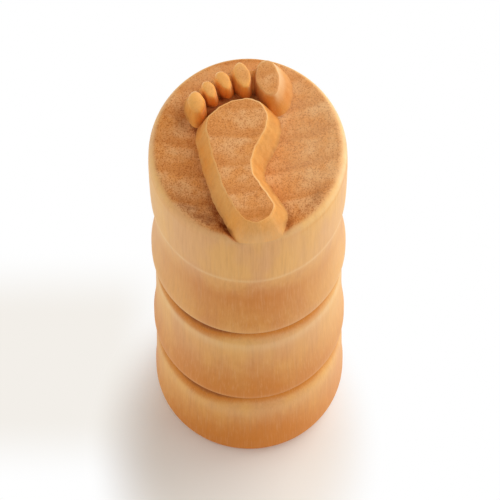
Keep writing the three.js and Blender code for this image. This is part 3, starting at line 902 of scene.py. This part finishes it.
def island_marks(island, rings, first_cap, carved, turned):
    """Where an island shows end grain, how deep its tone is, where it is browned and where its edges are
    paled. The deeper tone in the valleys and at the toes' roots is painted shade. The browning is painted
    shade with some of the cutter's burning. The paling is wear along the edges, with painted highlights where
    they face the light and on the toes. Each mark adds or multiplies smooth steps and bell curves over the
    height, the place on the face, the gap to the next island, the way that the wall faces and the turn of the
    dome."""
    aside, along, height = np.moveaxis(rings, 2, 0)
    below, above = carved.printing - height, height - turned.ground
    past_rim = np.hypot(aside, along) - carved.rim_radius
    inside, inner = smooth_step(*GROUND_EDGE, past_rim), smooth_step(*HEEL_OUTSIDE, past_rim)
    under_edge = smooth_step(*UNDER_EDGE, below)
    normals = outward(island.outline)
    to_right = smooth_step(*RIGHT_FACING, normals[:, 0])
    lit = np.clip(normals @ np.array(LIGHT_WAY), 0, 1)
    level = np.arange(len(rings))[:, None] - first_cap
    turn = np.clip(level + 1, 0, None) * math.pi / 2 / CAP_RINGS

    gap = neighbour_distance(rings[:, :, :2], island.name, carved)
    # Painted shade, with some of the cutter's burning, where the gap to the next island is narrow and deep,
    # less of it on the big toe's side.
    spared = 1 - VALLEY_SPARED * smooth_step(*BIG_TOE_SIDE, aside)
    valley = spared * smooth_step(*VALLEY_GAP, gap) * smooth_step(*VALLEY_DEPTH, below)
    # Painted shade at the walls' feet, more at the notch in front on the left of the heel.
    notch = smooth_step(*NOTCH_ALONG, along) * smooth_step(*NOTCH_ASIDE, aside)
    foot = (FOOT_BROWN + NOTCH_BROWN * notch) * smooth_step(*FOOT_HEIGHT, above)
    if island.flatness > FLAT_TOP:
        burnt, deep = FLAT_BROWN, FLAT_DEEP
    else:
        burnt, deep = ROUND_BROWN * smooth_step(*LOW_WALL, above), ROUND_DEEP
    toasted = np.maximum(burnt * valley, foot) * inside
    # The deeper tone in the valleys is painted shade.
    tone = deep * (HEEL_WALL_SHARE + (1 - HEEL_WALL_SHARE) * inner) + VALLEY_DEEP * valley * inside
    # Wear along the edges, with a painted highlight where they face the light.
    worn = bell(level, EDGE_LEVEL, EDGE_LEVELS) * (EDGE_WORN + EDGE_LIT * lit)
    worn += HEEL_PALE * (1 - inner) * smooth_step(*HEEL_BLEND, above)
    if island.dome:
        on_wall = np.cos(turn).clip(0) ** TOE_TOP_POWER
        to_root, to_end = (np.clip(normals @ way, 0, 1) for way in (island.way, -island.way))
        cut_across = np.sin(turn) ** 2
        # Painted shade on the toes' left-facing walls, below their edges.
        toasted += LEFT_BROWN * smooth_step(*LEFT_FACING, normals[:, 0]) * under_edge
        toasted[first_cap:] = 0
        # Painted shade: a deeper tone on the toes' walls that face their roots.
        tone += ROOT_DEEP * to_root * under_edge * on_wall
        # Painted highlights on the toes' far edges, on their tops and on their right-facing walls.
        worn += TOE_END_HIGHLIGHT * bell(turn, TOE_END_TURN, TOE_END_SPREAD) * to_end ** 2
        worn += TOE_TOP_HIGHLIGHT * (1 - on_wall)
        worn += TOE_RIGHT_HIGHLIGHT * to_right * smooth_step(*TOE_RIGHT_RISE, below) * (level < 0)
    else:
        cut_across = level >= 0
        heel, ball = (smooth_step(*end, along[first_cap:]) for end in (HEEL_TIP, BALL_FRONT))
        # Painted shade on the sole's right-facing walls, below their edge.
        toasted += RIGHT_BROWN * to_right * under_edge
        toasted[first_cap:] = HEEL_BROWN * heel
        tone[first_cap:] = SOLE_DEEP + np.maximum(HEEL_TIP_DEEP * heel, BALL_DEEP * ball)
    on_dome = 1 - DOME_SPARED * smooth_step(*DOME_FALL, below)
    flat_enough = smooth_step(*FLAT_ENOUGH, island.flatness) * on_dome
    heel_wall = HEEL_GRAIN * (1 - inner) * smooth_step(*HEEL_RISE, above)
    end_grain = np.maximum(heel_wall, flat_enough * cut_across)
    return dict(zip(MARKS, (end_grain, tone, toasted, worn)))


def side_marks(profile, rings, turned):
    """Marks of the turned side: end grain where it lies level; a tone that is set at heights up the side and
    deepens under each lip, partly as painted shade; in each groove the cutter's burning with painted shade
    under the lip; painted highlights on the head's lower edge, the lips and the rim, and a painted shade line
    over that edge; a painted sheen on the swells; and painted light to the left and right. They are smooth
    steps and bell curves over the height, and change with the place round the handle."""
    aside, along = rings[:, :, 0], rings[:, :, 1]
    out = aside / turned.body_radius
    height = profile[:, 1:]
    slope = np.gradient(profile, axis=0)
    level = np.abs(slope[:, :1]) / np.linalg.norm(slope, axis=1, keepdims=True)
    rim_low = turned.ground - turned.rim_drop
    head_edge = turned.ground - turned.head_edge_drop
    lower, upper = turned.lower_lip, turned.upper_lip
    # How deep the tone is at each height, from the foot to the carved ground. Its deep stretches, low on each
    # bead, toward the foot and in the neck's hollow, are partly painted shade.
    stops = (
        (0, 0.8), (2 * MM, 1.25), (6 * MM, 0.95),
        (lower - turned.flank_drop, 0.25), (lower, 0.3), (lower + LIP_RISE, 1.0),
        (upper - turned.flank_drop, 0.1), (upper, 0.3), (upper + LIP_RISE, 0.55),
        (turned.ground - turned.neck_drop, 0.8), (head_edge, 0.3), (head_edge + 2 * MM, 0.12),
        (turned.ground, 0.0),
    )
    tone = np.interp(height, *np.transpose(stops))
    # A painted highlight line along the head's lower edge.
    worn = EDGE_LINE_HIGHLIGHT * bell(height, head_edge, EDGE_LINE_WIDTH)
    # A painted shade line just over the head's lower edge.
    toasted = EDGE_SHADE_BROWN * bell(height, head_edge + EDGE_SHADE_RISE, EDGE_SHADE_WIDTH)
    for lip, swell_sheen in ((lower, LOWER_SWELL_SHEEN), (upper, UPPER_SWELL_SHEEN)):
        # Under each lip the tone deepens as painted shade.
        tone = np.maximum(tone, smooth_step(*UNDER_LIP, lip - height) * (height < lip))
        # A painted sheen on each swell under a flank, and a painted highlight along each lip's edge.
        worn += swell_sheen * bell(height, lip - turned.flank_drop - SWELL_DROP, SWELL_WIDTH)
        worn += LIP_HIGHLIGHT * bell(height, lip + LIP_RISE, LIP_WIDTH)

    # Painted light: the tone is less deep to the left and right.
    tone = tone * (1 - (SIDE_SPARED + LOW_SPARED * smooth_step(*LOW_RISE, height)) * out ** 2)
    # A painted highlight on the rounded rim, stronger on the right and weaker in front.
    rim = np.sin(math.pi * np.clip((height - rim_low) / turned.rim_drop, 0, 1))
    rim = rim * (RIM_HIGHLIGHT + RIM_LIT * smooth_step(*RIM_RIGHT, aside))
    # A painted sheen to the left and right, paler the higher it is and on the right.
    high = LOW_PALE + (1 - LOW_PALE) * smooth_step(*PALE_RISE, height)
    high = high + RIGHT_PALE * smooth_step(*PALE_RIGHT, aside)
    worn = worn + rim * (1 - RIM_SPARED * smooth_step(*FRONT, along))
    worn += SIDE_PALE * out ** 2 * np.clip(high, 0, 1) * (height < rim_low)
    # In each groove the cutter's burning with painted shade under the lip, wider at the sides and in places,
    # and weaker on the right where the light falls.
    wider = GROOVE_WIDTH + GROOVE_WIDER * out ** 4
    wider += sum(more * bell(aside, place, reach) for place, reach, more in GROOVE_SPREAD_SPOTS)
    darkness = GROOVE_BURN_AND_SHADE - GROOVE_LIGHTER_RIGHT * smooth_step(*GROOVE_RIGHT_FADE, aside)
    for lip in (lower, upper):
        drop = (lip - height) / wider
        soft_band, dark = (smooth_step(*fade, drop) * (drop > 0) for fade in (GROOVE_SOFT_FADE, GROOVE_DARK))
        tone = np.maximum(tone, GROOVE_TONE * soft_band)
        worn *= 1 - soft_band
        toasted = toasted + (GROOVE_SOFT_BROWN * soft_band + DARK_BROWN * dark) * darkness
    end_grain = smooth_step(*LEVEL_ENOUGH, level) * np.ones_like(out)
    return dict(zip(MARKS, (end_grain, tone, toasted, worn)))


def handle_marks(profile, rings, turned, carved):
    """The marks of the turned side, and over them those of the rim and the carved ground: browned by painted
    shade with some of the cutter's burning at the walls' feet and in the pocket by the toes, burnt along the
    rim in front with painted shade on its left, deeper as painted shade on the wood between the toes, paler
    behind them, and painted lighter on the right."""
    marks = side_marks(profile, rings, turned)
    top = profile[:, 1] >= turned.ground - turned.rim_drop
    aside, along, height = np.moveaxis(rings[top], 2, 0)
    places = rings[top][:, :, :2]
    above = height - turned.ground
    reach = np.hypot(aside, along) / carved.rim_radius
    on_ground = smooth_step(*GROUND_REACH, reach)
    front, behind = smooth_step(*FRONT, along), smooth_step(*BEHIND_TOES, along)
    left, right = smooth_step(*GROUND_LEFT, aside), smooth_step(*GROUND_RIGHT, aside)
    web = smooth_step(*WEB_RISE, above)
    # Painted shade, with some of the cutter's burning, at the walls' feet, more in front on the left.
    feet = (WALL_FOOT_BROWN * (1 - behind) + FRONT_FOOT_BROWN * front * left) * on_ground
    feet *= smooth_step(*WALL_FOOT_GAP, neighbour_distance(places, None, carved))
    # Painted shade in the pocket between the toes and the sole, less on the big toe's side.
    pocket = POCKET_BROWN - POCKET_SPARED * smooth_step(*BIG_TOE_SIDE, aside)
    pocket *= smooth_step(*POCKET_GAP, pocket_width(places, carved)) * smooth_step(*POCKET_RISE, above)
    near_rim = smooth_step(*RIM_NEAR, reach) * smooth_step(*RIM_PAST, reach)
    slip = SLIP_BROWN * bell(np.linalg.norm((places - SLIP_PLACE) / SLIP_REACH, axis=2), 0, 1)
    # The rim in front is burnt, with painted shade added on its left. The slip is burnt by the cutter.
    rim_burn_and_shade = (RIM_BROWN + RIM_LEFT_BROWN * left) * near_rim * front + slip
    # Paler behind the toes, and painted light on the ground to the right.
    pale = (BEHIND_PALE * behind + RIGHT_GROUND_PALE * right * (1 - behind)) * (1 - front) * on_ground
    marks["toasted"][top] = np.maximum(feet, pocket) + rim_burn_and_shade
    # Deeper behind the toes, and deeper on the wood between the toes as painted shade.
    marks["tone"][top] = np.maximum(BEHIND_DEEP * behind * on_ground, WEB_DEEP * web)
    marks["worn"][top] += pale * (1 - web)
    marks["end_grain"][top] *= 1 - WEB_GRAIN_LOST * web
    return marks


def dress(piece, node, material):
    """Puts a finished piece on the stamp in place of its solid."""
    piece.data.materials.append(material)
    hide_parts(node)
    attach(piece, BODY)


class STAMP_OT_turn_handle(bpy.types.Operator):
    """Turn the handle with its foot, beads, neck, head and carved ground"""

    bl_idname = "stamp.turn_handle"
    bl_label = "Turn Handle"

    def execute(self, context):
        turned, carved = context.scene.stamp_turned, context.scene.stamp_carved
        profile = turned_profile(turned, carved.printing)
        rings = handle_rings(profile, turned, carved)
        piece = close_rings("stamp_handle", rings, handle_marks(profile, rings, turned, carved))
        dress(piece, "handle", wood(TURNED_FINISH, context.scene.stamp_wood))
        return {"FINISHED"}


class STAMP_OT_carve_sole(bpy.types.Operator):
    """Carve the footprint's ball, arch and heel"""

    bl_idname = "stamp.carve_sole"
    bl_label = "Carve Sole"

    def execute(self, context):
        turned, carved = context.scene.stamp_turned, context.scene.stamp_carved
        piece = carve_island(sole_island(carved, SOLE_COLUMNS), carved, turned)
        dress(piece, "sole", wood(SOLE_FINISH, context.scene.stamp_wood))
        return {"FINISHED"}


class STAMP_OT_carve_toes(bpy.types.Operator):
    """Carve the five toes"""

    bl_idname = "stamp.carve_toes"
    bl_label = "Carve Toes"

    def execute(self, context):
        turned, carved = context.scene.stamp_turned, context.scene.stamp_carved
        look = context.scene.stamp_wood
        flat_wood, round_wood = wood(FLAT_TOE_FINISH, look), wood(ROUND_TOE_FINISH, look)
        for toe in TOES:
            piece = carve_island(toe_island(toe, carved, TOE_COLUMNS), carved, turned)
            dress(piece, toe.name, flat_wood if toe.flatness > FLAT_TOP else round_wood)
        return {"FINISHED"}


def soft_light(light, look):
    """A square soft light at a distance from the middle of the stamp, facing it."""
    lamp = bpy.data.lights.new(light.name, "AREA")
    lamp.size = light.size
    lamp.energy = getattr(look, light.power)
    holder = bpy.data.objects.new(light.name, lamp)
    holder.location = Vector(light.way).normalized() * LIGHT_REACH + Vector((0, 0, GROUND / 2))
    holder.rotation_euler = Vector(light.way).to_track_quat("Z", "Y").to_euler()
    bpy.context.scene.collection.objects.link(holder)


def between(value, low, high):
    """1 between two edges of the band, fading to 0 over a length inside each of them."""
    return value.ramp(low, low + BAND_FADE) * value.ramp(high, high - BAND_FADE)


def seen_rays(start):
    """1 for what the camera sees, straight or in a gloss or through glass, and 0 for the light on other
    things."""
    kinds = ("Camera", "Glossy", "Transmission")
    camera, glossy, through = (start.make("ShaderNodeLightPath", output=f"Is {kind} Ray") for kind in kinds)
    return start.math("MAXIMUM", start.math("MAXIMUM", camera, glossy), through)


def paper(look):
    """Plain pale floor: it takes the stamp's shadow near by, and is plain white to the eye further away, with
    a faint grey band on the left that is a painted shadow."""
    material = bpy.data.materials.new("floor_paper")
    start = new_nodes(material)
    place = start.make("ShaderNodeTexCoord", output="Object")
    across, along = (start.make("ShaderNodeSeparateXYZ", {}, {0: place}, axis) for axis in "XY")
    aside, ahead = (across - SHADE_ASIDE) / SHADE_ACROSS, (along - SHADE_AHEAD) / SHADE_ALONG
    shade = (aside * aside + ahead * ahead).ramp(1.0, SHADE_FULL)
    # The grey band on the left is a painted shadow.
    band = between(across, BAND_LEFT, BAND_RIGHT) * between(along, BAND_FRONT, BAND_BACK)
    matt = start.make("ShaderNodeBsdfDiffuse", {}, {"Color": (*look.floor, 1)})
    white = start.make("ShaderNodeEmission", {}, {"Color": band.tint((1, 1, 1), look.band), "Strength": 1.0})
    blend = start.make("ShaderNodeMixShader", {}, {0: (1 - shade) * seen_rays(start), 1: matt, 2: white})
    start.make("ShaderNodeOutputMaterial", {}, {"Surface": blend})
    return material


def lay_floor(look):
    """A large square floor that the stamp stands on."""
    reach = FLOOR_REACH
    mesh = bpy.data.meshes.new("floor")
    corners = [(-reach, -reach, 0), (reach, -reach, 0), (reach, reach, 0), (-reach, reach, 0)]
    mesh.from_pydata(corners, [], [(0, 1, 2, 3)])
    mesh.materials.append(paper(look))
    floor = bpy.data.objects.new("floor", mesh)
    bpy.context.scene.collection.objects.link(floor)


def studio_sky(look):
    """Even light from all round, plain white where it is seen."""
    world = bpy.data.worlds.new("studio_sky")
    start = new_nodes(world)
    glow, white = (
        start.make("ShaderNodeBackground", {}, {"Color": (1, 1, 1, 1), "Strength": strength})
        for strength in (look.sky, 1.0))
    blend = start.make("ShaderNodeMixShader", {}, {0: seen_rays(start), 1: glow, 2: white})
    start.make("ShaderNodeOutputWorld", {}, {"Surface": blend})
    bpy.context.scene.world = world


def set_camera(look):
    """A long lens looking down at the stamp from the heel's side. The camera is moved, not shifted, so that
    the handle's middle falls on its image column and row."""
    lens = bpy.data.cameras.new("stamp_view")
    lens.sensor_width = SENSOR_WIDTH
    lens.lens = look.focal_pixels / IMAGE_PIXELS * SENSOR_WIDTH
    lens.clip_start = NEAR_CLIP
    camera = bpy.data.objects.new("stamp_view", lens)
    back = Vector((0, -math.cos(look.elevation), math.sin(look.elevation)))
    turn = back.to_track_quat("Z", "Y")
    right, up = turn @ Vector((1, 0, 0)), turn @ Vector((0, 1, 0))
    metres_per_pixel = look.distance / look.focal_pixels
    half = IMAGE_PIXELS / 2
    slide = right * (half - look.middle_column) + up * (look.middle_row - half)
    camera.location = Vector((0, 0, AIM_HEIGHT)) + back * look.distance + slide * metres_per_pixel
    camera.rotation_euler = turn.to_euler()
    camera.rotation_euler.rotate_axis("Z", look.roll)
    bpy.context.scene.collection.objects.link(camera)
    bpy.context.scene.camera = camera


class STAMP_OT_set_stage(bpy.types.Operator):
    """Lay the floor and set the lights and the camera"""

    bl_idname = "stamp.set_stage"
    bl_label = "Set Stage"

    def execute(self, context):
        look = context.scene.stamp_stage
        lay_floor(look)
        for light in LIGHTS:
            soft_light(light, look)
        studio_sky(look)
        set_camera(look)
        context.scene.view_settings.view_transform = "Standard"
        return {"FINISHED"}


class STAMP_PT_maker(bpy.types.Panel):
    """Steps for making the stamp"""

    bl_idname = "STAMP_PT_maker"
    bl_label = "Hand Stamp"
    bl_space_type = "VIEW_3D"
    bl_region_type = "UI"
    bl_category = "Hand Stamp"

    def draw(self, context):
        for operator in STEPS:
            self.layout.operator(operator.bl_idname)
        for group in GROUPS:
            settings = getattr(context.scene, group)
            box = self.layout.box()
            for name in settings.__annotations__:
                box.prop(settings, name)


STEPS = (STAMP_OT_turn_handle, STAMP_OT_carve_sole, STAMP_OT_carve_toes, STAMP_OT_set_stage)
GROUPS = {
    "stamp_turned": TurnedSizes,
    "stamp_carved": CarvedSizes,
    "stamp_wood": WoodLook,
    "stamp_stage": StageLook,
}


def register():
    for group, kind in GROUPS.items():
        bpy.utils.register_class(kind)
        setattr(bpy.types.Scene, group, PointerProperty(type=kind))
    for kind in (*STEPS, STAMP_PT_maker):
        bpy.utils.register_class(kind)


def unregister():
    for kind in (STAMP_PT_maker, *reversed(STEPS)):
        bpy.utils.unregister_class(kind)
    for group, kind in reversed(GROUPS.items()):
        delattr(bpy.types.Scene, group)
        bpy.utils.unregister_class(kind)


def main():
    """Makes the stamp and its stage."""
    register()
    bpy.ops.stamp.turn_handle()
    bpy.ops.stamp.carve_sole()
    bpy.ops.stamp.carve_toes()
    bpy.ops.stamp.set_stage()


if __name__ == "__main__":
    main()
